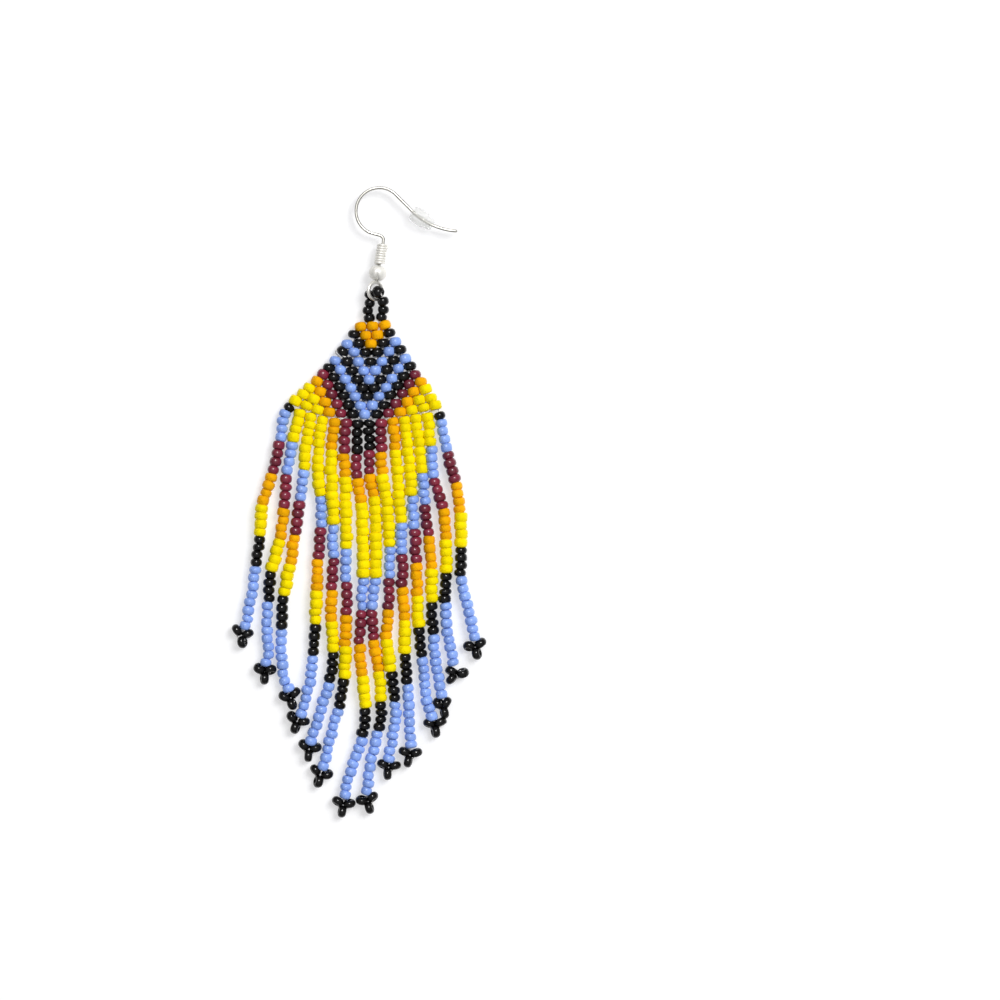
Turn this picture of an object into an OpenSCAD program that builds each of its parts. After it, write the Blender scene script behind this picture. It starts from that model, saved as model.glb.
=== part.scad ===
// A long fringe earring of seed beads that lies flat on a table.
// A silver ear wire carries a wire coil, a ball bead and a clear stopper. Its bottom ring holds a
// loop of eight black beads, then a brick-stitched triangle, then fourteen bead strings, each
// with a three-bead tip. +Z is up, the table is z = 0, and the ear wire points to +Y.

/* [Ear wire] */
// Diameter of the silver wire
wire_d = 0.64; // [0.5:0.02:0.7]
// Height of the wire's centre line above the table
wire_z = 1.6; // [1.6:0.05:2]
// Radius of the crest, where the ear lobe hangs
crest_r = 4.15; // [4:0.05:4.3]
// Radius of the back side of the hook, under the crest
back_r = 4.25; // [4.1:0.05:4.4]
// Radius of the long curved tail
tail_r = 12.1; // [11.5:0.1:13]
// How far the tail curves, in degrees
tail_turn = 41; // [36:1:44]
// Length of the straight stretch between crest and tail
slope_len = 4.2; // [4:0.1:4.5]
// Length of the straight stem through the coil and the ball
stem_len = 7.45; // [7.4:0.05:8]
// Radius of the bottom ring, to the middle of its wire
ring_r = 1.53; // [1.45:0.01:1.6]
// How far the bottom ring is turned out of the table's plane, in degrees
ring_tilt = 40; // [36:1:44]

/* [Coil, ball and stopper] */
// Number of turns in the coil on the stem
coil_turns = 8; // [5:1:8]
// Diameter of the coil's own wire
coil_wire_d = 0.47; // [0.4:0.01:0.48]
// Distance from one turn of the coil to the next
coil_pitch = 0.486; // [0.48:0.002:0.49]
// Outer diameter of the coil
coil_d = 2; // [1.9:0.05:2.2]
// Diameter of the ball bead
ball_d = 3.2; // [2.8:0.1:3.2]
// Length of the ball bead along the stem
ball_len = 2.66; // [2.4:0.02:2.7]
// Length of the clear stopper
stopper_len = 4.3; // [3.6:0.1:4.6]
// Diameter of the clear stopper at its wide end
stopper_d = 2.9; // [2.4:0.1:3]
// Gap between the wire and the stopper's bore, all round
stopper_gap = 0.1; // [0.08:0.01:0.15]

/* [Beads] */
// Diameter of the bead strings in the fringe
string_d = 1.9; // [1.7:0.05:1.9]
// Thickness of the stitched triangle
panel_t = 1.95; // [1.6:0.05:2.1]
// Diameter of a black bead in the hanging loop
loop_bead_d = 1.84; // [1.6:0.02:1.86]
// Length of a black bead in the hanging loop, along its hole
loop_bead_len = 1.16; // [1:0.02:1.18]
// Diameter of a black bead at a string's tip
tip_bead_d = 1.95; // [1.7:0.05:2]
// Length of a black bead at a string's tip, along its hole
tip_bead_len = 1.3; // [1.1:0.05:1.35]
// Diameter of a bead's hole
hole_d = 0.76; // [0.7:0.02:0.8]
// Diameter of the thread
thread_d = 0.24; // [0.2:0.02:0.26]

/* [Hidden] */
$fn = 48;

// Centre of the tail's curve, which the stopper slides round
slide_centre = [18.34, 60.3];
// Direction of the tail's tip, seen from that centre, in degrees
tip_angle = 266;
// Place of the stopper's middle on the tail, seen from that centre, in degrees
stopper_angle = 235.6;

// The wire from tip to ring. Columns: radius (0 is a straight), then length or turn in degrees,
// with a turn to the left positive.
wire_run = [
    [tail_r, -tail_turn],
    [0, slope_len],
    [crest_r, 135],
    [back_r, 58],
    [2.4, 16.6],
    [0, 1.65],
    [0.9, -84.6],
    [0, stem_len]];
// Each stretch stops this far short of the place where it meets the next
meet_gap = 0.03;
// Diameter and length of the thin collar that closes the wire there
collar_d = wire_d + 0.03;
collar_len = 0.24;
// Diameter of the wire's round tip
tip_d = wire_d + 0.04;

// Rows of the stitched triangle from the top, the first with 3 beads and each next with one more.
// Columns: x of the first and the last bead, y in the middle, rise at the left and right end.
rows = [
    [0.55, 4.8, 31.35, -0.1, 0.2],
    [-0.65, 5.6, 29.68, 0.22, 0.42],
    [-1.9, 6.7, 28.18, -0.08, 0.32],
    [-2.7, 7.6, 26.64, 0.16, 0.46],
    [-4, 8.5, 24.98, 0.22, 0.55],
    [-5.1, 9.35, 23.36, 0.6, 0.84],
    [-6.2, 10.2, 21.75, 1, 0.95],
    [-7.3, 11.2, 20.28, 1.2, 1.12],
    [-8.6, 12, 18.78, 1.6, 1.32],
    [-9.7, 13, 17.2, 2, 1.3],
    [-11, 13.8, 15.6, 2.5, 1.6]];
// Half the height of the outer rows, which close the triangle at its top and bottom
row_half = 0.65;
// Half the width of a bead in a row
bead_half = 1.03;
// How sharply a row's left and right end curl up
curl = [2.8, 1.8];
// Number of steps across the triangle
across = 12;
// Crown of one row. Columns: place in the row from -1 to 1, share of the half thickness.
crown = [[-1, 0.62], [-0.72, 0.9], [0, 1], [0.72, 0.9]];

// The black loop's beads from the triangle up, through the ring and down again. Columns: x, y, z
// of the bead's middle.
loop_spots = [
    [4.21, 32.92, 0.95],
    [4.57, 34.28, 1.2],
    [4.56, 35.7, 1.95],
    [3.62, 37.4, 2.5],
    [2.14, 36.9, 0.93],
    [2.14, 35.44, 0.93],
    [1.8, 34.12, 0.93],
    [2.07, 32.77, 0.95]];
// Where the loop's thread comes out of the triangle and goes back in
loop_ends = [[3.9, 32.2, 0.95], [2.35, 32.14, 0.95]];
// Share of the thread's slope that a bead of the loop follows
bead_slope = 0.5;
// How far the loop's thread runs straight from a bead's middle, as a share of the bead's length
thread_reach = 0.54;

// Routes of the fourteen strings from left to right, from the triangle down. Columns: x, y.
routes = [
    [[-11.78, 17.4], [-12.6, 16.3], [-13.9, 10.8], [-15.15, 5], [-17.05, -0.4], [-17.4, -6],
        [-18.1, -11.4], [-19, -17.2], [-20.2, -22.85]],
    [[-10.15, 16.45], [-11.6, 10.85], [-12.6, 5], [-13.2, -1.1], [-13.8, -6.6], [-15.3, -12.3],
        [-15.9, -17.8], [-16.25, -23.6], [-15.95, -26.5], [-16.4, -29.3]],
    [[-8.25, 15.8], [-9, 11.7], [-9.65, 5.75], [-10.3, 0.2], [-11.15, -5.8], [-12.1, -11.1],
        [-13.1, -16.7], [-13.7, -22.7], [-13.5, -28.35], [-13.1, -31.2], [-12.1, -33.85]],
    [[-6.15, 15.2], [-6.8, 11.2], [-7.1, 5.3], [-6.6, 1.1], [-6.55, -4.6], [-7.15, -10.2],
        [-7.35, -15.85], [-7.5, -21.8], [-7.9, -27.4], [-8.7, -32.8], [-10.3, -38.4]],
    [[-4, 14.9], [-4.75, 9.3], [-4.6, 3.4], [-4.4, -4.05], [-4.4, -9.95], [-4.6, -15.7],
        [-4.65, -21.2], [-4.35, -26.6], [-5, -32.1], [-6.8, -37.65], [-8.5, -43.2]],
    [[-1.95, 14.75], [-2.45, 8.65], [-2.2, 4.5], [-2.05, -1.2], [-2.1, -8.35], [-2.05, -14.25],
        [-2, -20.2], [-2.2, -25.8], [-2.4, -31.35], [-3.4, -36.8], [-4.85, -41.95], [-6.2, -47.7]],
    [[0.05, 14.7], [-0.2, 8.55], [-0.15, 4.2], [0.65, -0.1], [0.9, -6], [0.95, -13.4],
        [0.6, -19.3], [0.3, -25.4], [0.9, -31.1], [1.4, -36.7], [0.8, -41.9], [-1.15, -47.3],
        [-2.45, -52.85]],
    [[2.1, 14.7], [2.05, 9.2], [2.05, 4.9], [2.95, 0.9], [3.3, -5.4], [3.1, -13.4],
        [2.6, -19.15], [2.8, -24.7], [3.8, -30.1], [4.2, -35.55], [3.7, -40.7], [2.3, -46.5],
        [1.5, -52.3]],
    [[4.2, 14.75], [4.2, 8.9], [4.35, 4.9], [5.3, -0.8], [5.65, -7.9], [5.6, -13.6],
        [5.45, -19.2], [5, -24.5], [5.95, -30.15], [6.7, -35.5], [6.4, -40.95], [5.3, -46.3]],
    [[6.25, 14.9], [6.75, 9.3], [7.2, 3.5], [7.65, -3.7], [7.95, -9.45], [7.9, -15.2],
        [8.45, -21.05], [8.5, -26.95], [8.8, -32.5], [9.15, -38.4], [9.4, -43.9]],
    [[8.25, 15.25], [8.7, 11.15], [9.3, 5.3], [9.65, 1.1], [10.1, -4.8], [10.35, -10.9],
        [10.65, -16.7], [10.8, -22.35], [11.4, -27.7], [12.1, -33.25], [12.5, -36.05],
        [13.6, -38.8]],
    [[10.3, 15.5], [10.75, 11.35], [11.5, 5.15], [12, -0.5], [12.65, -6.1], [13.1, -11.95],
        [13.15, -17.8], [13.45, -23.65], [13.95, -29.2], [15.15, -34.95]],
    [[12.35, 15.8], [13.05, 10], [13.65, 4.3], [15.15, -1.35], [15.7, -6.8], [15.8, -12.55],
        [15.55, -17.95], [16.1, -23.75], [17.2, -29.25]],
    [[14.4, 16.1], [14.75, 14.75], [15.8, 9], [17.45, 3.5], [18.2, -1.95], [18.4, -7.85],
        [18.35, -13.35], [19.75, -19], [20.85, -24.8]]];

// The three-bead tips, one to a string. Columns: x, y of the middle, direction of the lowest bead.
tips = [
    [-20.45, -24.1, 260],
    [-16.55, -30.4, 268],
    [-12.05, -35.1, 281],
    [-10.8, -39.55, 256],
    [-8.7, -44.35, 262],
    [-6.6, -48.85, 254],
    [-2.7, -54.05, 257],
    [1.85, -53.4, 274],
    [5.4, -47.45, 263],
    [9.3, -45.1, 262],
    [13.75, -40.05, 275],
    [15.6, -36.3, 273],
    [17.55, -30.9, 252],
    [21, -26.05, 288]];
// Distance from a tip's middle to the middle of each of its beads
tip_reach = 1.27;
// Angle between a tip's lowest bead and each of its side beads
tip_spread = 119;
// Size of a string's rounded ends. Columns: distance from the end, share of the full radius.
string_end = [[0, 0.55], [0.6, 1]];
// A string stops this far short of its route's end, clear of the tip's thread
tip_clear = 0.45;

// A place on the wire [x, y, heading] after one more stretch of wire_run
function next_spot(p, piece) = piece[0] == 0
    ? [p[0] + piece[1] * cos(p[2]), p[1] + piece[1] * sin(p[2]), p[2]]
    : let (side = sign(piece[1]), h = p[2] + piece[1], c = bend_centre(p, piece))
        [c[0] + side * piece[0] * sin(h), c[1] - side * piece[0] * cos(h), h];

// Centre of a bend that starts at place p
function bend_centre(p, piece) =
    [p[0], p[1]] + sign(piece[1]) * piece[0] * [-sin(p[2]), cos(p[2])];

// Every place on the wire where one stretch ends and the next starts
wire_spots = [
    for (i = 0,
        p = [slide_centre[0] + tail_r * cos(tip_angle),
            slide_centre[1] + tail_r * sin(tip_angle), tip_angle - 90];
        i <= len(wire_run);
        p = i < len(wire_run) ? next_spot(p, wire_run[i]) : p,
        i = i + 1) p];
stem_end = wire_spots[len(wire_run)];
// Direction from the stem's end to the ring's middle, a little off the stem's own
ring_heading = stem_end[2] + 5;

// Middle of the ball and lower end of the coil, measured up the stem from the ring
ball_up = ball_len / 2 + wire_d / 2 + 0.02;
coil_up = ball_up + ball_len / 2 + 0.3;

// Unit vector along v
function unit(v) = v / norm(v);

// Direction of a route at point i
function heading(pts, i) =
    unit(pts[min(i + 1, len(pts) - 1)] - pts[max(i - 1, 0)]);

// Faces of a tube of n rings with m points each, in triangles, with both ends closed
function tube_faces(n, m) = concat(
    [for (i = [0:n - 2], k = [0:m - 1]) let (a = i * m + k, b = i * m + (k + 1) % m)
        each [[a, b, b + m], [a, b + m, a + m]]],
    [for (k = [1:m - 2]) each [[0, k + 1, k],
        [(n - 1) * m, (n - 1) * m + k, (n - 1) * m + k + 1]]]);

// A route with the two extra points near its ends where the string becomes round
function rounded_route(pts) = let (
    n = len(pts),
    first = unit(pts[1] - pts[0]),
    last = unit(pts[n - 2] - pts[n - 1])) concat(
        [pts[0], pts[0] + string_end[1][0] * first],
        [for (i = [1:n - 2]) pts[i]],
        [pts[n - 1] + (tip_clear + string_end[1][0]) * last, pts[n - 1] + tip_clear * last]);

// A ring of eight points round a flat route, with a flat at the bottom
function string_ring(p, dir, r) = [
    for (k = [0:7]) let (a = 22.5 + 45 * k, e = r / cos(22.5))
        [p[0] + e * cos(a) * dir[1], p[1] - e * cos(a) * dir[0], string_d / 2 + e * sin(a)]];

// One bead string as a smooth tube
module bead_string(pts) {
    way = rounded_route(pts);
    n = len(way);
    rings = [for (i = [0:n - 1])
        let (end = i == 0 || i == n - 1)
            each string_ring(way[i], heading(way, i),
                string_d / 2 * string_end[end ? 0 : 1][1])];
    polyhedron(rings, tube_faces(n, 8));
}

// A drilled bead with a full round rim, its hole along Z
module bead(d, len, bore) {
    rotate_extrude()
        difference() {
            translate([(d - len) / 2, 0]) circle(d = len);
            translate([-d, -d]) square([d + bore / 2, 2 * d]);
        }
}

// Puts a child's Z axis along vector v
module aim(v) {
    rotate([0, acos(v[2] / norm(v)), atan2(v[1], v[0])]) children();
}

// The three beads of one tip
module tip_beads(tip) {
    for (side = [-1, 0, 1]) {
        a = tip[2] + side * tip_spread;
        translate([tip[0] + tip_reach * cos(a), tip[1] + tip_reach * sin(a), tip_bead_d / 2])
            rotate([0, 90, a + 90]) bead(tip_bead_d, tip_bead_len, hole_d);
    }
}

// One bead string of the fringe with its tip
module fringe_string(i) {
    bead_string(routes[i]);
    tip_beads(tips[i]);
}

// One straight or bent stretch of round wire
module wire_piece(p, piece) {
    if (piece[0] == 0) {
        translate([p[0] + meet_gap * cos(p[2]), p[1] + meet_gap * sin(p[2]), wire_z])
            rotate([0, 90, p[2]]) cylinder(d = wire_d, h = piece[1] - 2 * meet_gap);
    } else {
        c = bend_centre(p, piece);
        short = meet_gap / piece[0] * 180 / PI;
        from = (piece[1] > 0 ? p[2] - 90 : p[2] + 90 + piece[1]) + short;
        translate([c[0], c[1], wire_z])
            rotate([0, 0, from])
                rotate_extrude(angle = abs(piece[1]) - 2 * short)
                    translate([piece[0], 0]) circle(d = wire_d);
    }
}

// Puts a child on the stem, that far above the ring, with Z up the stem
module on_stem(up) {
    translate([stem_end[0] - up * cos(stem_end[2]), stem_end[1] - up * sin(stem_end[2]), wire_z])
        rotate([0, 90, stem_end[2] - 180]) children();
}

// Ear wire: hook, stem and bottom ring in one piece of wire
module ear_wire() color("silver") {
    for (i = [0:len(wire_run) - 1]) wire_piece(wire_spots[i], wire_run[i]);
    translate([wire_spots[0][0], wire_spots[0][1], wire_z]) sphere(d = tip_d);
    for (i = [1:len(wire_run) - 1])
        translate([wire_spots[i][0], wire_spots[i][1], wire_z])
            rotate([0, 90, wire_spots[i][2]])
                cylinder(d = collar_d, h = collar_len, center = true);
    // Bottom ring, turned about the stem so that its left side stands up
    translate([stem_end[0], stem_end[1], wire_z])
        rotate(a = -ring_tilt, v = [cos(ring_heading), sin(ring_heading), 0])
            translate([ring_r * cos(ring_heading), ring_r * sin(ring_heading), 0])
                rotate_extrude() translate([ring_r, 0]) circle(d = wire_d);
}

// Coil of thin wire round the stem, its turns joined by a thin web on the inside
module coil_sleeve() color("silver") {
    r = (coil_d - coil_wire_d) / 2;
    on_stem(coil_up) rotate_extrude() {
        for (i = [0:coil_turns - 1]) translate([r, (i + 0.5) * coil_pitch]) circle(d = coil_wire_d);
        translate([r - coil_wire_d / 4, coil_pitch / 2])
            square([coil_wire_d / 2, (coil_turns - 1) * coil_pitch]);
    }
}

// Silver ball between coil and ring, a little flattened at its holes
module ball_bead() color("silver") {
    on_stem(ball_up) bead(ball_d, ball_len, wire_d + 0.3);
}

// Clear stopper on the tail: a wide barrel, a shoulder and a narrower nose towards the tip
module stopper() color([0.9, 0.92, 0.9, 0.5]) {
    r = stopper_d / 2;
    l = stopper_len;
    difference() {
        translate([slide_centre[0] + (tail_r - 0.1) * cos(stopper_angle),
            slide_centre[1] + (tail_r - 0.1) * sin(stopper_angle), wire_z])
            rotate([0, 90, stopper_angle + 90])
                rotate_extrude() polygon([
                    [0, -l / 2], [0.8 * r, -l / 2], [0.94 * r, -0.46 * l], [r, -0.38 * l],
                    [r, 0.1 * l], [0.95 * r, 0.15 * l], [0.8 * r, 0.18 * l],
                    [0.77 * r, 0.36 * l], [0.7 * r, 0.46 * l], [0.58 * r, l / 2], [0, l / 2]]);
        translate([slide_centre[0], slide_centre[1], wire_z])
            rotate([0, 0, stopper_angle - 20])
                rotate_extrude(angle = 40)
                    translate([tail_r, 0]) circle(d = wire_d + 2 * stopper_gap);
    }
}

// Direction of the hole of bead i of the hanging loop
function loop_axis(i) = let (
    n = len(loop_spots),
    before = i == 0 ? loop_ends[0] : loop_spots[i - 1],
    after = i == n - 1 ? loop_ends[1] : loop_spots[i + 1],
    v = after - before)
        unit([v[0], v[1], bead_slope * v[2]]);

// Eight black beads of the hanging loop, each turned along the thread
module loop_beads() color([0.1, 0.1, 0.1]) {
    for (i = [0:len(loop_spots) - 1])
        translate(loop_spots[i]) aim(loop_axis(i)) bead(loop_bead_d, loop_bead_len, hole_d);
}

// Thread of the hanging loop, straight through each of the eight beads and through the ring
module loop_thread() color("white") {
    way = [for (i = [0:len(loop_spots) - 1], side = [-1, 1])
        loop_spots[i] + side * thread_reach * loop_bead_len * loop_axis(i)];
    n = len(way);
    rings = [for (i = [0:n - 1])
        let (t = heading(way, i), side = unit(cross(t, [0, 0, 1])), up = cross(side, t))
            for (k = [0:7]) way[i] + thread_d / 2 * (cos(45 * k) * side + sin(45 * k) * up)];
    polyhedron(rings, tube_faces(n, 8));
}

// Share of the way across, from -1 to 1, turned into x and y on row r
function on_row(r, t) = let (
    row = rows[r],
    half = (row[1] - row[0]) / 2 + bead_half,
    x = (row[0] + row[1]) / 2 + t * half,
    s = abs(t) * half / (half - bead_half),
    rise = t < 0 ? row[3] * pow(s, curl[0]) : row[4] * pow(s, curl[1]))
        [x, row[2] + rise];

// A point between rows: v from -1 at the row's upper edge to 1 at its lower edge
function on_panel(r, v, t) = let (
    p = on_row(r, t),
    far = v < 0 ? r - 1 : r + 1,
    inside = far >= 0 && far < len(rows),
    q = inside ? on_row(far, t) : [p[0], p[1] - sign(v) * 2 * row_half],
    w = abs(v) / 2,
    x = abs(v) == 1 ? (p[0] + q[0]) / 2 : p[0])
        [x, p[1] * (1 - w) + q[1] * w];

// Stitched triangle: eleven crowned rows in one sheet, stepped at both sides
module beaded_panel() color("gold") {
    n = len(rows);
    levels = concat([for (r = [0:n - 1], c = crown) [r, c[0], c[1]]], [[n - 1, 1, crown[0][1]]]);
    cols = across + 1;
    // Each level is a closed ring: over the top from left to right, and back underneath
    rings = [for (lv = levels) each concat(
        [for (j = [0:across])
            let (p = on_panel(lv[0], lv[1], 2 * j / across - 1))
                [p[0], p[1], panel_t / 2 * (1 + lv[2])]],
        [for (j = [across:-1:0])
            let (p = on_panel(lv[0], lv[1], 2 * j / across - 1))
                [p[0], p[1], panel_t / 2 * (1 - lv[2])]])];
    m = 2 * cols;
    last = (len(levels) - 1) * m;
    sides = [for (i = [0:len(levels) - 2], k = [0:m - 1])
        let (a = i * m + k, b = i * m + (k + 1) % m)
            each [[a, b, b + m], [a, b + m, a + m]]];
    ends = [for (j = [0:across - 1]) each [
        [j, m - 2 - j, j + 1], [j, m - 1 - j, m - 2 - j],
        [last + j, last + j + 1, last + m - 2 - j], [last + j, last + m - 2 - j, last + m - 1 - j]]];
    polyhedron(rings, concat(sides, ends));
}

// A thread ring through the three beads of each tip
module tip_threads() color("white") {
    for (tip = tips) translate([tip[0], tip[1], tip_bead_d / 2])
        rotate_extrude() translate([tip_reach + 0.06, 0]) circle(d = thread_d);
}

ear_wire();
coil_sleeve();
ball_bead();
stopper();
loop_beads();
loop_thread();
beaded_panel();
tip_threads();
color([0.5, 0.64, 0.94]) fringe_string(0);  // string_01
color([0.99, 0.86, 0]) fringe_string(1);  // string_02
color([0.99, 0.86, 0]) fringe_string(2);  // string_03
color([0.99, 0.86, 0]) fringe_string(3);  // string_04
color([0.99, 0.86, 0]) fringe_string(4);  // string_05
color([0.99, 0.86, 0]) fringe_string(5);  // string_06
color([0.99, 0.86, 0]) fringe_string(6);  // string_07
color([0.99, 0.86, 0]) fringe_string(7);  // string_08
color([0.99, 0.86, 0]) fringe_string(8);  // string_09
color([0.99, 0.86, 0]) fringe_string(9);  // string_10
color([0.99, 0.86, 0]) fringe_string(10);  // string_11
color([0.99, 0.86, 0]) fringe_string(11);  // string_12
color([0.99, 0.86, 0]) fringe_string(12);  // string_13
color([0.5, 0.64, 0.94]) fringe_string(13);  // string_14
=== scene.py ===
"""Looks of a beaded fringe earring that lies flat on a white table.

Everything is in metres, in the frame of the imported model: +Z is up from the table and +Y points
from the fringe to the hook. Each operator below makes one piece or one group of like pieces.
"""
import math

import bpy
import numpy as np
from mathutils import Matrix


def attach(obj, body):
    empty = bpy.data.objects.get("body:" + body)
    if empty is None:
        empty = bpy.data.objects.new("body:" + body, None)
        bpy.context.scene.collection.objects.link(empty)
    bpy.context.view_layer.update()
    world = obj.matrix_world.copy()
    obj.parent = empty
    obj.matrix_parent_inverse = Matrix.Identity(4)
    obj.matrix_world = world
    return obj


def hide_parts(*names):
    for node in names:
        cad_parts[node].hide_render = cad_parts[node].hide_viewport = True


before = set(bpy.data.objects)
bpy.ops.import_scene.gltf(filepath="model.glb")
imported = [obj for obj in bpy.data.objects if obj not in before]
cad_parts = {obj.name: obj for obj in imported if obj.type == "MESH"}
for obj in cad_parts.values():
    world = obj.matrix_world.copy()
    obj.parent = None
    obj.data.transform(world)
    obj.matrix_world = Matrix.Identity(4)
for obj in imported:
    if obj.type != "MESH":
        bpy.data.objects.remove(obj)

bl_info = {
    "name": "Beaded Fringe Earring",
    "version": (1, 0, 0),
    "blender": (4, 5, 0),
    "location": "View3D > Sidebar > Earring",
    "description": "Makes the beads, thread, metal and stage of a long seed-bead earring",
    "category": "Add Mesh",
}

MM = 0.001
STATIC = "earring"
SLIDING = "stopper"
UP = np.array([0.0, 0.0, 1.0])
QUARTER = math.pi / 2
# The colour sockets of a Mix node, whose names its other sockets share
MIX_A, MIX_B = 6, 7

# ---- Where things lie, in millimetres, as in the solids ----

# Glass colours, by the letter that the charts use.
LETTERS = "BMOYK"

# Brick-stitched rows of the triangle from the top: the beads' colours, x of the first and the
# last bead, y in the middle, and how far the left and the right end curl up.
ROWS = [
    ("OOO", 0.55, 4.8, 31.35, -0.1, 0.2),
    ("KOOK", -0.65, 5.6, 29.68, 0.22, 0.42),
    ("BKOKB", -1.9, 6.7, 28.18, -0.08, 0.32),
    ("KBKKBK", -2.7, 7.6, 26.64, 0.16, 0.46),
    ("BKBKBKB", -4, 8.5, 24.98, 0.22, 0.55),
    ("KBKBBKBK", -5.1, 9.35, 23.36, 0.6, 0.84),
    ("MKBKBKBKM", -6.2, 10.2, 21.75, 1, 0.95),
    ("OMKBKKBKMO", -7.3, 11.2, 20.28, 1.2, 1.12),
    ("YOMKBKBKMOY", -8.6, 12, 18.78, 1.6, 1.32),
    ("YYOMKBBKMOYY", -9.7, 13, 17.2, 2, 1.3),
    ("YYYOMKBKMOYYY", -11, 13.8, 15.6, 2.5, 1.6)]
# Powers that the left and the right curl grow with
CURL = (2.8, 1.8)

# Every string ends in the same runs; these come first, for the strings from the edge inwards.
COMMON_RUNS = "B" * 4 + "M" * 4 + "O" * 4 + "Y" * 4 + "K" * 4 + "B" * 8
TOP_RUNS = ["K", "Y" * 4, "Y" * 7, "Y" * 10, "O" * 4 + "Y" * 9, "M" * 4 + "O" * 3 + "Y" * 9,
            "K" * 4 + "M" * 3 + "O" * 3 + "Y" * 9]

# Routes of the fourteen strings from left to right: beads so far, x, y.
ROUTES = [
    [(0, -11.78, 17.4), (1, -12.6, 16.3), (5, -13.9, 10.8), (9, -15.15, 5), (13, -17.05, -0.4),
     (17, -17.4, -6), (21, -18.1, -11.4), (25, -19, -17.2), (29, -20.2, -22.85)],
    [(0, -10.15, 16.45), (4, -11.6, 10.85), (8, -12.6, 5), (12, -13.2, -1.1), (16, -13.8, -6.6),
     (20, -15.3, -12.3), (24, -15.9, -17.8), (28, -16.25, -23.6), (30, -15.95, -26.5),
     (32, -16.4, -29.3)],
    [(0, -8.25, 15.8), (3, -9, 11.7), (7, -9.65, 5.75), (11, -10.3, 0.2), (15, -11.15, -5.8),
     (19, -12.1, -11.1), (23, -13.1, -16.7), (27, -13.7, -22.7), (31, -13.5, -28.35),
     (33, -13.1, -31.2), (35, -12.1, -33.85)],
    [(0, -6.15, 15.2), (3, -6.8, 11.2), (7, -7.1, 5.3), (10, -6.6, 1.1), (14, -6.55, -4.6),
     (18, -7.15, -10.2), (22, -7.35, -15.85), (26, -7.5, -21.8), (30, -7.9, -27.4),
     (34, -8.7, -32.8), (38, -10.3, -38.4)],
    [(0, -4, 14.9), (4, -4.75, 9.3), (8, -4.6, 3.4), (13, -4.4, -4.05), (17, -4.4, -9.95),
     (21, -4.6, -15.7), (25, -4.65, -21.2), (29, -4.35, -26.6), (33, -5, -32.1),
     (37, -6.8, -37.65), (41, -8.5, -43.2)],
    [(0, -1.95, 14.75), (4, -2.45, 8.65), (7, -2.2, 4.5), (11, -2.05, -1.2), (16, -2.1, -8.35),
     (20, -2.05, -14.25), (24, -2, -20.2), (28, -2.2, -25.8), (32, -2.4, -31.35),
     (36, -3.4, -36.8), (40, -4.85, -41.95), (44, -6.2, -47.7)],
    [(0, 0.05, 14.7), (4, -0.2, 8.55), (7, -0.15, 4.2), (10, 0.65, -0.1), (14, 0.9, -6),
     (19, 0.95, -13.4), (23, 0.6, -19.3), (27, 0.3, -25.4), (31, 0.9, -31.1), (35, 1.4, -36.7),
     (39, 0.8, -41.9), (43, -1.15, -47.3), (47, -2.45, -52.85)],
    [(0, 2.1, 14.7), (4, 2.05, 9.2), (7, 2.05, 4.9), (10, 2.95, 0.9), (14, 3.3, -5.4),
     (19, 3.1, -13.4), (23, 2.6, -19.15), (27, 2.8, -24.7), (31, 3.8, -30.1), (35, 4.2, -35.55),
     (39, 3.7, -40.7), (43, 2.3, -46.5), (47, 1.5, -52.3)],
    [(0, 4.2, 14.75), (4, 4.2, 8.9), (7, 4.35, 4.9), (11, 5.3, -0.8), (16, 5.65, -7.9),
     (20, 5.6, -13.6), (24, 5.45, -19.2), (28, 5, -24.5), (32, 5.95, -30.15), (36, 6.7, -35.5),
     (40, 6.4, -40.95), (44, 5.3, -46.3)],
    [(0, 6.25, 14.9), (4, 6.75, 9.3), (8, 7.2, 3.5), (13, 7.65, -3.7), (17, 7.95, -9.45),
     (21, 7.9, -15.2), (25, 8.45, -21.05), (29, 8.5, -26.95), (33, 8.8, -32.5),
     (37, 9.15, -38.4), (41, 9.4, -43.9)],
    [(0, 8.25, 15.25), (3, 8.7, 11.15), (7, 9.3, 5.3), (10, 9.65, 1.1), (14, 10.1, -4.8),
     (18, 10.35, -10.9), (22, 10.65, -16.7), (26, 10.8, -22.35), (30, 11.4, -27.7),
     (34, 12.1, -33.25), (36, 12.5, -36.05), (38, 13.6, -38.8)],
    [(0, 10.3, 15.5), (3, 10.75, 11.35), (7, 11.5, 5.15), (11, 12, -0.5), (15, 12.65, -6.1),
     (19, 13.1, -11.95), (23, 13.15, -17.8), (27, 13.45, -23.65), (31, 13.95, -29.2),
     (35, 15.15, -34.95)],
    [(0, 12.35, 15.8), (4, 13.05, 10), (8, 13.65, 4.3), (12, 15.15, -1.35), (16, 15.7, -6.8),
     (20, 15.8, -12.55), (24, 15.55, -17.95), (28, 16.1, -23.75), (32, 17.2, -29.25)],
    [(0, 14.4, 16.1), (1, 14.75, 14.75), (5, 15.8, 9), (9, 17.45, 3.5), (13, 18.2, -1.95),
     (17, 18.4, -7.85), (21, 18.35, -13.35), (25, 19.75, -19), (29, 20.85, -24.8)]]

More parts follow.
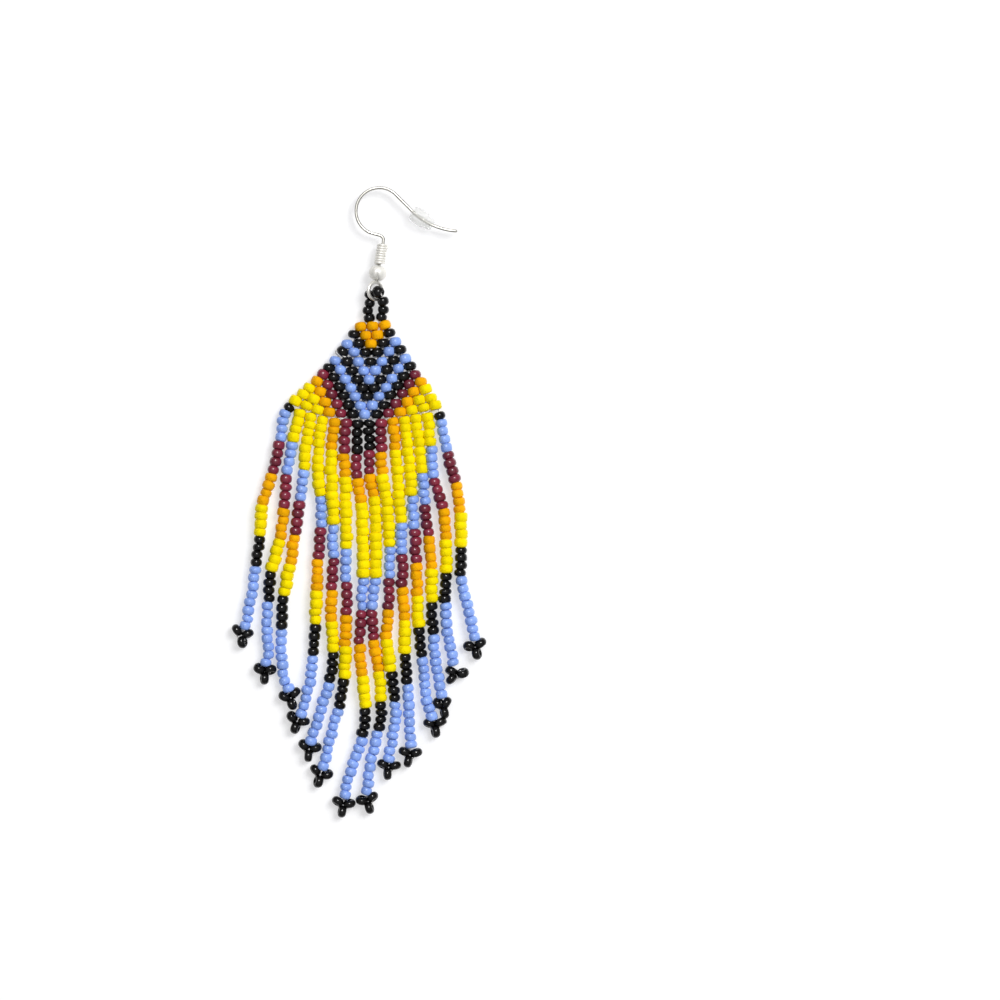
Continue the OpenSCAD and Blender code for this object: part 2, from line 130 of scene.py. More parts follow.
# Three-bead tips: x, y of the place where the beads meet, then the direction in degrees and the
# distance of the left, the lowest and the right bead.
TIPS = [
    (-20.7, -23.92, 125, 1.41, 279, 1.09, 21, 1.24),
    (-16.55, -30.35, 144, 1.24, 267, 1.13, 24, 1.19),
    (-12.05, -35.05, 156, 1.14, 291, 1.08, 50, 1.44),
    (-10.78, -39.2, 133, 1.35, 253, 1.12, 4, 1.25),
    (-8.7, -44.08, 136, 1.24, 266, 1.2, 15, 1.32),
    (-6.6, -48.62, 136, 1.33, 251, 1.3, 6, 1.24),
    (-2.6, -53.87, 150, 1.14, 262, 1.34, 8, 1.21),
    (1.78, -53.36, 167, 1.13, 285, 1.22, 43, 1.26),
    (5.4, -47.18, 151, 1.06, 266, 1.32, 10, 1.32),
    (9.28, -44.94, 153, 1.1, 257, 1.36, 14, 1.23),
    (13.75, -39.8, 160, 1.14, 276, 1.17, 30, 1.24),
    (15.35, -36.68, 138, 1.33, 276, 0.9, 63, 1.05),
    (17.65, -30.65, 152, 1.17, 222, 1.34, 10, 1.12),
    (20.98, -25.85, 172, 1.23, 282, 1.24, 39, 1.19)]

# Beads of the hanging loop from the triangle up, through the ring and down again.
LOOP = [(4.21, 32.92, 0.95), (4.57, 34.28, 1.2), (4.56, 35.7, 1.95), (3.7, 37.32, 2.33),
        (2.14, 36.9, 0.93), (2.14, 35.44, 0.93), (1.8, 34.12, 0.93), (2.07, 32.77, 0.95)]
LOOP_ENDS = [(3.9, 32.2, 0.95), (2.35, 32.14, 0.95)]
LOOP_GROWTH = np.array([1, 1, 1.02, 1.12, 1, 0.97, 0.96, 1])
# The bead in the ring leans over it
RING_BEAD = 3
RING_BEAD_AXIS = (-0.75, 0.45, -0.45)

# Beads of the triangle that lie turned: row, place in the row and degrees
TURNED = [(3, 0, -36), (0, 2, 9), (0, 0, -3), (6, 8, -8), (7, 9, -12), (9, 0, 10)]
# Slack thread round the turned bead at the triangle's left edge: x, y, z
SLACK = [[(-3.3, 27.5, 0.7), (-3.85, 27.2, 1.05), (-3.1, 26.42, 1.75), (-2.35, 25.88, 1.8),
          (-1.5, 25.62, 1.2)],
         [(-3.75, 27.2, 0.5), (-3.98, 26.62, 0.8), (-3.2, 25.82, 1.3), (-2.5, 25.3, 1.2)]]

# The loop's thread over the top row, between the loop's two ends: x, y, z
BRIDGE = [(2.25, 32.2, 1.0), (2.5, 32.02, 1.35), (3.0, 32.12, 1.62), (3.5, 32.05, 1.45),
          (3.9, 32.25, 1.0)]

# The wire from tip to ring: radius (0 is a straight), then length or turn in degrees, with a
# turn to the left positive.
SLIDE_CENTRE = (18.34, 60.3)
TAIL_R = 12.1
TIP_ANGLE, STOPPER_ANGLE = 266, 235.6
WIRE_RUN = [(TAIL_R, -41), (0, 4.2), (4.15, 135), (4.25, 58), (2.4, 16.6), (0, 1.65), (0.9, -84.6),
            (0, 7.45)]
RING_R, RING_TILT, RING_LEAN = 1.53, 40, 5
# The ball sits this far above the ring, and the coil this far above the ball
BALL_GAP, COIL_GAP = 0.34, 0.08
BALL_WIDTH, BALL_LENGTH, BALL_HOLE = 3.2, 2.66, 1.3
BORE_R = 0.42
# The ear wire above the ring looks this much thinner than the ring's wire
WIRE_SHARE = 0.87
# Each wall of the stopper hides this share of what is behind it
PLASTIC_ALPHA = 0.3
LOOP_BEAD_WIDTH = 2.02
TIP_BEAD_WIDTH, TIP_HEIGHT = 2.26, 1.16
# A tip's beads are drawn in to this share of the distances in TIPS
TIP_REACH = 0.95
# Widest bead among the first of each string, where the strings are crowded
CROWDED_WIDTH, CROWDED_BEADS = 2.26, 6
# Longest fringe bead, before its colour's tallness
LONGEST = 1.6

# The photograph: dots to a side, dots to the millimetre, and the dot over the origin
PICTURE, DOTS_PER_MM, ORIGIN_DOT = 1000, 5.6, (358, 502)


# ---- Colours and nodes ----

def linear(hex_code):
    """Linear (r, g, b) of an sRGB hex value such as #FFE000."""
    c = np.array([int(hex_code[i:i + 2], 16) for i in (1, 3, 5)]) / 255.0
    return tuple(float(v) for v in np.where(c <= 0.04045, c / 12.92, ((c + 0.055) / 1.055) ** 2.4))


def add(tree, kind, links=None, values=None, **settings):
    """Adds one node: settings are its own, values go on its sockets, links join sockets to it."""
    node = tree.nodes.new(kind)
    for name, value in settings.items():
        setattr(node, name, value)
    for name, value in (values or {}).items():
        node.inputs[name].default_value = value
    for name, socket in (links or {}).items():
        tree.links.new(socket, node.inputs[name])
    return node


def blank(name):
    """A material with an empty node tree, its tree, its output node and its Object coordinates."""
    material = bpy.data.materials.new(name)
    material.use_nodes = True
    tree = material.node_tree
    tree.nodes.clear()
    out = add(tree, "ShaderNodeOutputMaterial")
    where = add(tree, "ShaderNodeTexCoord").outputs["Object"]
    return material, tree, out, where


def noise(tree, where, wave, **values):
    """Noise whose waves are so many millimetres long."""
    return add(tree, "ShaderNodeTexNoise", {"Vector": where},
               {"Scale": 1 / (wave * MM), **values}).outputs["Fac"]


def spread_over(tree, value, low, high, start=0.0, end=1.0, **settings):
    """The value, moved from the range start to end into the range low to high."""
    return add(tree, "ShaderNodeMapRange", {"Value": value},
               {"From Min": start, "From Max": end, "To Min": low, "To Max": high},
               **settings).outputs["Result"]


def blend(tree, factor, first, second):
    """The first colour where the factor is 0, the second where it is 1."""
    return add(tree, "ShaderNodeMix", {"Factor": factor},
               {MIX_A: (*first, 1.0), MIX_B: (*second, 1.0)}, data_type="RGBA").outputs["Result"]


def darker(colour, share):
    """A share of the colour's light."""
    return [c * share for c in colour]


def relief(tree, height, strength, depth):
    """Normals of a skin whose waves are so many millimetres deep."""
    return add(tree, "ShaderNodeBump", {"Height": height},
               {"Strength": strength, "Distance": depth * MM}).outputs["Normal"]


def surfaced(material, tree, out, links, values):
    """The material with one Principled shader on its surface."""
    shader = add(tree, "ShaderNodeBsdfPrincipled", links, values)
    tree.links.new(shader.outputs[0], out.inputs["Surface"])
    return material


def opaque_glass(name, colour, roughness, spread, gleam, gloss_tint=(1.0, 1.0, 1.0)):
    """Opaque drawn-glass seed bead. The eye sees an even colour with one soft highlight, a faintly
    wavy skin from fire polishing, and small differences of shade from bead to bead. gleam is the
    strength of its reflections, 0.5 for clean glass and less for a worn skin."""
    material, tree, out, where = blank(name)
    tone = add(tree, "ShaderNodeAttribute", attribute_name="tone").outputs["Fac"]
    shade = spread_over(tree, tone, 1 - spread, 1 + spread)
    # Clouds in the glass about 1.2 mm across
    cloud = noise(tree, where, 1.2, Detail=2.0, Roughness=0.5)
    streak = spread_over(tree, cloud, 0.94, 1.05, 0.3, 0.7)
    value = add(tree, "ShaderNodeMath", {0: shade, 1: streak}, operation="MULTIPLY").outputs[0]
    tint = add(tree, "ShaderNodeHueSaturation", {"Value": value}, {"Color": (*colour, 1.0)})
    # Waves of the fire-polished skin about 0.5 mm apart
    skin = relief(tree, noise(tree, where, 0.5, Detail=1.0), 0.35, 0.02)
    gloss = spread_over(tree, cloud, roughness * 0.85, roughness * 1.2, 0.3, 0.7)
    return surfaced(material, tree, out,
                    {"Base Color": tint.outputs["Color"], "Normal": skin, "Roughness": gloss},
                    {"IOR": 1.52, "Specular IOR Level": gleam,
                     "Specular Tint": (*gloss_tint, 1.0)})


def silver_plate(name, colour, roughness, metallic=1.0):
    """Silver-plated steel. The eye sees a bright, slightly warm mirror with a fine grain and an
    uneven dullness from handling. White, unpolished plate has a metallic value below 1."""
    material, tree, out, where = blank(name)
    # Handling marks about 1.5 mm across
    marks = noise(tree, where, 1.5, Detail=4.0, Roughness=0.6)
    dull = spread_over(tree, marks, roughness * 0.7, roughness * 1.5, 0.35, 0.7)
    # Grain of the plating, really about 0.02 mm, drawn at 0.12 mm so that it shows
    grain = relief(tree, noise(tree, where, 0.12, Detail=2.0), 0.15, 0.004)
    return surfaced(material, tree, out,
                    {"Base Color": blend(tree, marks, colour, darker(colour, 0.86)),
                     "Normal": grain, "Roughness": dull}, {"Metallic": metallic})


def clear_plastic(name, colour, roughness):
    """Injection-moulded clear soft plastic. The eye sees through it to the wire, through a milky
    body and a satin skin with faint moulding waves."""
    material, tree, out, where = blank(name)
    # Flow waves about 0.9 mm apart
    flow = noise(tree, where, 0.9, Detail=2.0)
    return surfaced(material, tree, out,
                    {"Base Color": blend(tree, flow, colour, darker(colour, 0.93)),
                     "Normal": relief(tree, flow, 0.02, 0.02)},
                    {"IOR": 1.2, "Roughness": roughness, "Alpha": PLASTIC_ALPHA,
                     "Transmission Weight": 0.3, "Subsurface Weight": 0.5,
                     "Subsurface Radius": (1.0, 1.0, 1.0), "Subsurface Scale": 1.2 * MM})


def beading_thread(name, colour):
    """Twisted and waxed polyester beading thread. The eye sees a white, slightly furry cord with
    shade in the grooves between its plies."""
    material, tree, out, where = blank(name)
    # Single fibres, really 0.02 mm, drawn at 0.06 mm so that they show
    fibre = noise(tree, where, 0.06, Detail=2.0)
    return surfaced(material, tree, out,
                    {"Base Color": blend(tree, fibre, darker(colour, 0.82), colour),
                     "Normal": relief(tree, fibre, 0.5, 0.01)},
                    {"Roughness": 0.7, "Sheen Weight": 0.35, "Sheen Roughness": 0.4})


def light_table(name, colour, glow):
    """Matt white acrylic sheet, lit faintly from below. The eye sees even white with pale shadows
    and a hardly visible grain."""
    material, tree, out, where = blank(name)
    grain = noise(tree, where, 1.0, Detail=2.0)
    return surfaced(material, tree, out,
                    {"Base Color": blend(tree, grain, darker(colour, 0.985), colour)},
                    {"Roughness": 0.9, "Specular IOR Level": 0.2, "Emission Strength": glow,
                     "Emission Color": (1.0, 1.0, 1.0, 1.0)})


def finish_of(name):
    """The material of that name, made once from the colours in the panel."""
    found = bpy.data.materials.get(name)
    if found:
        return found
    c = bpy.context.scene.earring_colours
    # The function that makes each one, and what it takes
    make, *values = {
        "Opaque blue glass": (opaque_glass, c.blue, 0.3, 0.08, 0.32),
        "Opaque maroon glass": (opaque_glass, c.maroon, 0.26, 0.3, 0.42),
        "Opaque orange glass": (opaque_glass, c.orange, 0.4, 0.08, 0.26, c.orange),
        "Opaque yellow glass": (opaque_glass, c.yellow, 0.4, 0.05, 0.24, c.yellow),
        "Opaque black glass": (opaque_glass, c.black, 0.18, 0.3, 0.26),
        # The ear wire and its ring are one wire. The darker silver of the wire above the ring is
        # painted shade, and the brighter silver of the ring is a painted highlight.
        "Silver-plated wire": (silver_plate, c.silver, 0.38),
        "Silver-plated ring": (silver_plate, c.bright_silver, 0.34, 0.8),
        "Silver-plated bead": (silver_plate, c.bright_silver, 0.42, 0.32),
        "Clear soft plastic": (clear_plastic, c.plastic, 0.12),
        "Twisted beading thread": (beading_thread, c.thread),
        "Matt white acrylic": (light_table, c.table, 0.48),
    }[name]
    return make(name, *values)


# The glasses in LETTERS' order
GLASSES = [f"Opaque {name} glass" for name in ("blue", "maroon", "orange", "yellow", "black")]


# ---- Surfaces ----

def unit(v):
    """Vectors of length 1 along v, over the last axis."""
    return v / np.linalg.norm(v, axis=-1, keepdims=True)


def level(angle):
    """Level directions at angles from +X, in radians."""
    return np.stack([np.cos(angle), np.sin(angle), 0 * angle], axis=-1)


def spokes(angle, first, second):
    """Directions cos a first + sin a second."""
    return np.cos(angle)[..., None] * first + np.sin(angle)[..., None] * second


def full_turn(count):
    """So many angles at even steps of a full turn."""
    return np.linspace(0, 2 * math.pi, count, endpoint=False)


def run_so_far(path):
    """Length along a path up to each of its points."""
    return np.concatenate([[0], np.cumsum(np.linalg.norm(np.diff(path, axis=0), axis=1))])


def grid_quads(nu, nv, close_u=False, close_v=False):
    """Quads of a grid of nu by nv points, point (u, v) being number u * nv + v. A closed
    direction joins its last line of points to its first."""
    u = np.arange(nu if close_u else nu - 1)
    v = np.arange(nv if close_v else nv - 1)
    u, v = [a.ravel() for a in np.meshgrid(u, v, indexing="ij")]
    u2, v2 = (u + 1) % nu, (v + 1) % nv
    return np.stack([u * nv + v, u2 * nv + v, u2 * nv + v2, u * nv + v2], axis=1)


def enclosed(points, quads):
    """Volume in the quads, the sum over their triangles of a . (b x c) / 6. It is negative where
    they face inwards."""
    a, b, c, d = [points[quads[:, k]] for k in range(4)]
    return (np.einsum("ij,ij->i", a, np.cross(b, c)) + np.einsum("ij,ij->i", a, np.cross(c, d))
            ).sum() / 6


def placed(name, data):
    """A new object in the scene."""
    thing = bpy.data.objects.new(name, data)
    bpy.context.scene.collection.objects.link(thing)
    return thing


def new_piece(name, body, slot, finishes, points, quads, which=None, tone=None):
    """One mesh object from points in millimetres and quads, turned to face outwards, at the
    origin. which is each quad's finish, tone each point's shade from 0 to 1."""
    if enclosed(points, quads) < 0:
        quads = quads[:, ::-1]
    mesh = bpy.data.meshes.new(name)
    mesh.vertices.add(len(points))
    mesh.vertices.foreach_set("co", (points * MM).astype(np.float32).ravel())
    mesh.loops.add(quads.size)
    mesh.loops.foreach_set("vertex_index", quads.astype(np.int32).ravel())
    mesh.polygons.add(len(quads))
    mesh.polygons.foreach_set("loop_start", np.arange(0, quads.size, 4, dtype=np.int32))
    mesh.update(calc_edges=True)
    mesh.polygons.foreach_set("use_smooth", np.ones(len(quads), bool))
    for finish in finishes:
        mesh.materials.append(finish_of(finish))
    if which is not None:
        mesh.polygons.foreach_set("material_index", which.astype(np.int32))
    if tone is not None:
        mesh.attributes.new("tone", "FLOAT", "POINT").data.foreach_set(
            "value", tone.astype(np.float32))
    mesh.validate()
    piece = placed(name, mesh)
    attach(piece, body)
    return piece


def joined(parts):
    """Several (points, quads) surfaces as one, each one's quads moved past the points before."""
    start = np.cumsum([0] + [len(p) for p, _ in parts])
    return (np.concatenate([p for p, _ in parts]),
            np.concatenate([q + s for (_, q), s in zip(parts, start)]))


def side_frames(path, closed=False):
    """Tangent, side and up vectors along a path. The side is level, tangent x up-axis, which
    suits wire and thread that lie down and never stand straight up."""
    longer = np.pad(path, ((1, 1), (0, 0)), mode="wrap" if closed else "edge")
    tangent = unit(longer[2:] - longer[:-2])
    side = unit(np.cross(tangent, UP))
    return tangent, side, np.cross(side, tangent)


def tube(path, radius, sides, closed=False, plies=0, lay=1.0, groove=0.0):
    """Round tube along a path: point = path + r (cos a side + sin a up). A twisted thread's r
    swells as r (1 + groove cos(plies a - 2 pi s / lay)), s being the length so far. Open ends
    close in a quarter circle, r cos b and r sin b past the end."""
    tangent, side, up = side_frames(path, closed)
    r = np.full(len(path), float(radius))
    if not closed:
        b = np.radians([89.0, 60.0, 30.0])
        past, shrunk = radius * np.sin(b)[:, None], radius * np.cos(b)
        path = np.concatenate([path[0] - past * tangent[0], path,
                               path[-1] + past[::-1] * tangent[-1]])
        r = np.concatenate([shrunk, r, shrunk[::-1]])
        side, up = [np.pad(x, ((3, 3), (0, 0)), mode="edge") for x in (side, up)]
    a = full_turn(sides)
    swell = 1 + groove * np.cos(plies * a - 2 * math.pi * run_so_far(path)[:, None] / lay)
    ring = spokes(a, side[:, None], up[:, None])
    points = (path[:, None] + (r[:, None] * swell)[..., None] * ring).reshape(-1, 3)
    quads = grid_quads(len(path), sides, close_u=closed, close_v=True)
    return (points, quads) if closed else capped(points, quads, sides)


def capped(points, quads, sides):
    """Closes the first and the last ring of a tube with a fan of quads round a middle point,
    each quad taking in two sides of the ring."""
    n = len(points)
    middle = np.stack([points[:sides].mean(axis=0), points[-sides:].mean(axis=0)])
    k = np.arange(0, sides, 2)
    k1, k2 = (k + 1) % sides, (k + 2) % sides
    first = np.stack([np.full_like(k, n), k, k1, k2], axis=1)
    far = n - sides
    last = np.stack([np.full_like(k, n + 1), far + k2, far + k1, far + k], axis=1)
    return np.concatenate([points, middle]), np.concatenate([quads, first, last])


def smooth_path(knots, at, steps):
    """Points of a smooth curve through knots, at the values steps of its running number at:
    between two knots a cubic that leaves and arrives with the mean slope of its neighbours."""
    knots, at = np.asarray(knots, float), np.asarray(at, float)
    slope = np.gradient(knots, at, axis=0)
    i = np.clip(np.searchsorted(at, steps, side="right") - 1, 0, len(at) - 2)
    h = (at[i + 1] - at[i])[:, None]
    t = ((steps - at[i])[:, None]) / h
    return ((2 * t**3 - 3 * t**2 + 1) * knots[i] + (t**3 - 2 * t**2 + t) * h * slope[i]
            + (3 * t**2 - 2 * t**3) * knots[i + 1] + (t**3 - t**2) * h * slope[i + 1])


def curve_through(knots, count):
    """So many points of a smooth curve through knots, at even steps of the knots' number."""
    k = np.arange(len(knots))
    return smooth_path(knots, k, np.linspace(0, k[-1], count))


# Outlines of a seed bead from rim to rim, as shares of its radius and of its half length: a round
# one and a square one. The first and last points are the rims of the hole.
ROUND_BEAD, SQUARE_BEAD = [
    np.array([(r, -h) for r, h in half] + [(1.0, 0.0)] + half[::-1]) for half in (
        [(0.42, 1.0), (0.73, 0.84), (0.93, 0.48)], [(0.42, 1.0), (0.91, 0.98), (1.0, 0.76)])]
BEAD_SIDES = 10

# How square the beads of each colour are, their width and their length beside the average, in
# LETTERS' order: those on strings and those of the stitched triangle
SQUARENESS = {"string": [0.15, 0.08, 0.32, 0.36, 0.1], "row": [0.0, 0.0, 0.34, 0.4, 0.0]}
PLUMPNESS = {"string": [1.01, 1.05, 1.06, 1.12, 1.03], "row": [1.07, 1.06, 1.1, 1.12, 1.12]}
TALLNESS = {"string": [1.06, 1.07, 1.12, 1.16, 1.05], "row": [1.11, 1.11, 1.09, 1.09, 1.05]}


def by_colour(table, letters):
    """One number of the table for each bead of a chart."""
    return np.array(table)[[LETTERS.index(c) for c in letters]]


def bead_cloud(centres, axes, widths, lengths, letters, rng, kind="string"):
    """Many seed beads as one surface: point = centre + (width / 2) r (cos a u + sin a v)
    + (length / 2) h axis, where (r, h) is the outline and u, v are square to the axis. Each bead
    is rounder or squarer by chance, round its colour's own squareness. Also gives each quad's
    colour and each point's tone."""
    n, m = len(centres), len(ROUND_BEAD)
    colour = by_colour(range(len(LETTERS)), letters)
    square = by_colour(SQUARENESS[kind], letters) + rng.normal(0, 0.12, n)
    square = np.clip(square, 0, 1)[:, None, None]
    outline = ROUND_BEAD * (1 - square) + SQUARE_BEAD * square
    r, h = outline[..., 0], outline[..., 1]
    flat = unit(np.cross(axes, UP + 1e-6))
    high = np.cross(flat, axes)
    ring = spokes(full_turn(BEAD_SIDES), flat[:, None], high[:, None])
    out, along = r * (widths / 2)[:, None], h * (lengths / 2)[:, None]
    points = (centres[:, None, None] + out[..., None, None] * ring[:, None]
              + along[..., None, None] * axes[:, None, None])
    quads = grid_quads(m, BEAD_SIDES, close_u=True, close_v=True)
    faces = len(quads)
    quads = (quads[None] + (np.arange(n) * m * BEAD_SIDES)[:, None, None]).reshape(-1, 4)
    tone = rng.uniform(0, 1, n)
    return (points.reshape(-1, 3), quads, np.repeat(colour, faces),
            np.repeat(tone, m * BEAD_SIDES))


def slide_centre():
    """Centre of the tail's arc, at the wire's height."""
    return np.array([*SLIDE_CENTRE, bpy.context.scene.earring_sizes.wire_height / MM])


def wire_path():
    """Centre line of the ear wire from tip to ring, arcs and straights one after the other, and
    the last heading. An arc is centre - R side(h), side(h) being square to the heading h."""
    place = slide_centre() + TAIL_R * level(math.radians(TIP_ANGLE))
    h = math.radians(TIP_ANGLE) - QUARTER
    found = [place[None]]
    for radius, run in WIRE_RUN:
        if radius == 0:
            steps = np.linspace(0, run, max(2, round(run / 0.6)) + 1)[1:]
            found.append(place + steps[:, None] * level(h))
        else:
            side = math.copysign(radius, run)
            centre = place + side * level(h + QUARTER)
            steps = np.radians(np.linspace(0, run, max(3, round(abs(run) / 4)) + 1)[1:])
            found.append(centre - side * level(h + steps + QUARTER))
            h += math.radians(run)
        place = found[-1][-1]
    return np.concatenate(found), h


def stem():
    """Top of the ring, where the stem begins, and the direction up the stem."""
    path, heading = wire_path()
    return path[-1], -level(heading)


def revolved(outline, turns, centre, axis, groove=0.0):
    """A closed outline of (radius, height) points turned round an axis in even steps. A groove
    that starts above the middle of the upper side and grows to the given depth at the lower end
    has the profile exp(-(angle / width)^2). The steps are finer across it."""
    flat = unit(np.cross(axis, UP))
    high = np.cross(flat, axis)
    a = np.linspace(0, 360, turns, endpoint=False)
    if groove:
        a = np.sort(np.concatenate([a[np.abs(a - 90) > 31], 90 + np.linspace(-30, 30, 25)]))
    ring = spokes(np.radians(a), flat, high)
    outline = np.asarray(outline, float)
    grown = np.clip(0.35 - outline[:, 1, None] / outline[:, 1].max(), 0, 1.35) / 1.35
    dip = groove * grown * np.exp(-((a - 90) / (3 + 13 * grown)) ** 2)
    points = (centre + (outline[:, 0, None] - dip)[..., None] * ring[None]
              + outline[:, 1, None, None] * axis)
    return points.reshape(-1, 3), grid_quads(len(outline), len(a), close_u=True, close_v=True)


# ---- Sizes and colours that a user would change ----

def number(name, description, default, **settings):
    """A number in the panel."""
    return bpy.props.FloatProperty(name=name, description=description, default=default, **settings)


def millimetres(name, description, size, **settings):
    """A length in the panel whose default is so many millimetres."""
    return number(name, description, size * MM, unit="LENGTH", precision=5, **settings)


def colour_of(name, description, hex_code):
    """A colour in the panel whose default is an sRGB hex value."""
    return bpy.props.FloatVectorProperty(name=name, description=description, subtype="COLOR",
                                         default=linear(hex_code), min=0.0, max=1.0)


class EarringSizes(bpy.types.PropertyGroup):
    """Real sizes of the earring's small parts"""
    bead_width: millimetres("Bead width", "Outer diameter of a fringe bead", 2.1)
    row_bead_width: millimetres(
        "Row bead width", "Outer diameter of a bead in the stitched triangle", 2.06)
    row_bead_length: millimetres(
        "Row bead length", "Length of a bead in the triangle along its hole", 1.52)
    tip_bead_length: millimetres(
        "Tip bead length", "Length of a bead at a string's tip along its hole", 1.42)
    loop_bead_length: millimetres("Loop bead length", "Length of a bead in the hanging loop", 1.5)
    thread_width: millimetres("Thread width", "Diameter of the beading thread", 0.24)
    wire_width: millimetres("Wire width", "Diameter of the ear wire", 0.64)
    wire_height: millimetres(
        "Wire height", "Height of the ear wire's centre line above the table", 1.6)
    size_spread: number("Size spread", "How much one bead's size differs from the next", 0.04,
                        min=0.0, max=0.1, subtype="FACTOR")
    tilt_spread: number("Tilt spread", "How far a bead tips off its thread", math.radians(5.5),
                        min=0.0, max=math.radians(15), subtype="ANGLE")
    stagger: millimetres("Stagger", "How far a bead sits beside the line of its string", 0.15,
                         min=0.0, max=0.3 * MM)
    seed: bpy.props.IntProperty(
        name="Seed", description="Starting number for the beads' chance differences",
        default=7, min=0)


class EarringColours(bpy.types.PropertyGroup):
    """Colours of the glass, metal, plastic, thread and table"""
    blue: colour_of("Blue", "Light blue glass", "#88A7EB")
    maroon: colour_of("Maroon", "Maroon glass", "#762134")
    orange: colour_of("Orange", "Orange glass", "#EAA70B")
    yellow: colour_of("Yellow", "Yellow glass", "#F1DA08")
    black: colour_of("Black", "Black glass", "#0B0A0A")
    # The ear wire's darker silver is painted shade. The ring, one wire with it, takes the bright
    # silver below as a painted highlight, which the coil and the ball share as their own colour.
    silver: colour_of("Silver", "Silver plate of the ear wire", "#BAB8B1")
    bright_silver: colour_of(
        "Bright silver", "Silver plate of the ring, the coil and the ball", "#F4F2EB")
    plastic: colour_of("Plastic", "Clear plastic", "#E2E3DF")
    thread: colour_of("Thread", "Beading thread", "#F4F2EE")
    table: colour_of("Table", "White table", "#C5C5C6")


class EarringStage(bpy.types.PropertyGroup):
    """Light, table and camera"""
    key_power: number("Key light", "Power of the soft lamp at the upper right", 34.0, min=0.0,
                      unit="POWER")
    key_size: number("Key size", "Width of the soft lamp", 1.15, unit="LENGTH")
    spark_power: number("Spark light", "Power of the small lamp that puts a glint on each bead",
                        42.0, min=0.0, unit="POWER")
    sky: number("Sky", "Strength of the white tent overhead", 0.62, min=0.0)
    lens: number("Lens", "Focal length of the camera in millimetres", 100.0)


# ---- Operators ----

class EARRING_OT_ear_wire(bpy.types.Operator):
    """Bend the silver ear wire from its tip to its bottom ring"""
    bl_idname = "earring.ear_wire"
    bl_label = "Ear Wire"

    def execute(self, context):
        r = context.scene.earring_sizes.wire_width / MM / 2
        path, heading = wire_path()
        # The ring leans a little off the stem and stands up on its left side: point = middle
        # + R (cos a along + sin a across), with across tipped down by the tilt
        lean, tilt = heading + math.radians(RING_LEAN), math.radians(RING_TILT)
        along = level(lean)
        across = math.cos(tilt) * level(lean + QUARTER) - math.sin(tilt) * UP
        ring = path[-1] + RING_R * (along + spokes(full_turn(48), along, across))
        parts = [tube(path, r * WIRE_SHARE, 16), tube(ring, r, 16, closed=True)]
        # The wire above the ring gets the darker silver as painted shade, and the ring gets the
        # brighter silver as a painted highlight, though both are one wire.
        which = np.repeat([0, 1], [len(q) for _, q in parts])
        piece = new_piece("ear_wire_polished", STATIC, "silver_plate",
                          ["Silver-plated wire", "Silver-plated ring"], *joined(parts), which)
        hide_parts("ear_wire")
        return {"FINISHED"}


class EARRING_OT_coil(bpy.types.Operator):
    """Wind eight turns of thin silver wire round the stem"""
    bl_idname = "earring.coil"
    bl_label = "Coil"

    def execute(self, context):
        wire, outer, pitch, turns, sides = 0.46, 2.0, 0.51, 8, 10
        ring_top, up_stem = stem()
        foot = ring_top + (BALL_LENGTH + BALL_GAP + COIL_GAP) * up_stem
        side = np.cross(up_stem, UP)
        # point = foot + R (sin a z - cos a side) + height up_stem; the height rises evenly, by
        # one pitch less than there are turns
        a = np.linspace(0, 2 * math.pi * turns, 24 * turns + 1) - math.pi / 2
        rise = np.linspace(0, 1, len(a)) * (turns - 1) * pitch + wire / 2
        # Here the level side would fail where the wire runs up or down, so the frame is the
        # radius and its cross product with the wire's direction
        out = spokes(a, -side, UP)
        coil = foot + (outer - wire) / 2 * out + rise[:, None] * up_stem
        tangent = unit(np.gradient(coil, axis=0))
        across = unit(np.cross(out, tangent))
        points = coil[:, None] + wire / 2 * spokes(full_turn(sides), out[:, None],
                                                   across[:, None])
        quads = grid_quads(len(coil), sides, close_v=True)
        piece = new_piece("coil_wound", STATIC, "silver_plate", ["Silver-plated bead"],
                          *capped(points.reshape(-1, 3), quads, sides))
        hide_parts("coil_sleeve")
        return {"FINISHED"}


class EARRING_OT_ball(bpy.types.Operator):
    """Turn the silver ball bead on the stem"""
    bl_idname = "earring.ball"
    bl_label = "Ball Bead"

    def execute(self, context):
        ring_top, up_stem = stem()
        middle = ring_top + (BALL_LENGTH / 2 + BALL_GAP) * up_stem
        # Outline: a half circle of the bead's length, set out from the axis, then the hole's wall
        arc = BALL_LENGTH / 2 * level(np.radians(np.linspace(-90, 90, 19)))[:, :2]
        arc[:, 0] += (BALL_WIDTH - BALL_LENGTH) / 2
        arc = arc[arc[:, 0] > BALL_HOLE / 2 + 0.02]
        inside = 0.96 * arc[-1, 1]
        outline = [(BALL_HOLE / 2, -inside), *arc, (BALL_HOLE / 2, inside)]
        piece = new_piece("ball_bead_polished", STATIC, "silver_plate", ["Silver-plated bead"],
                          *revolved(outline, 36, middle, up_stem, groove=0.42))
        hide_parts("ball_bead")
        return {"FINISHED"}


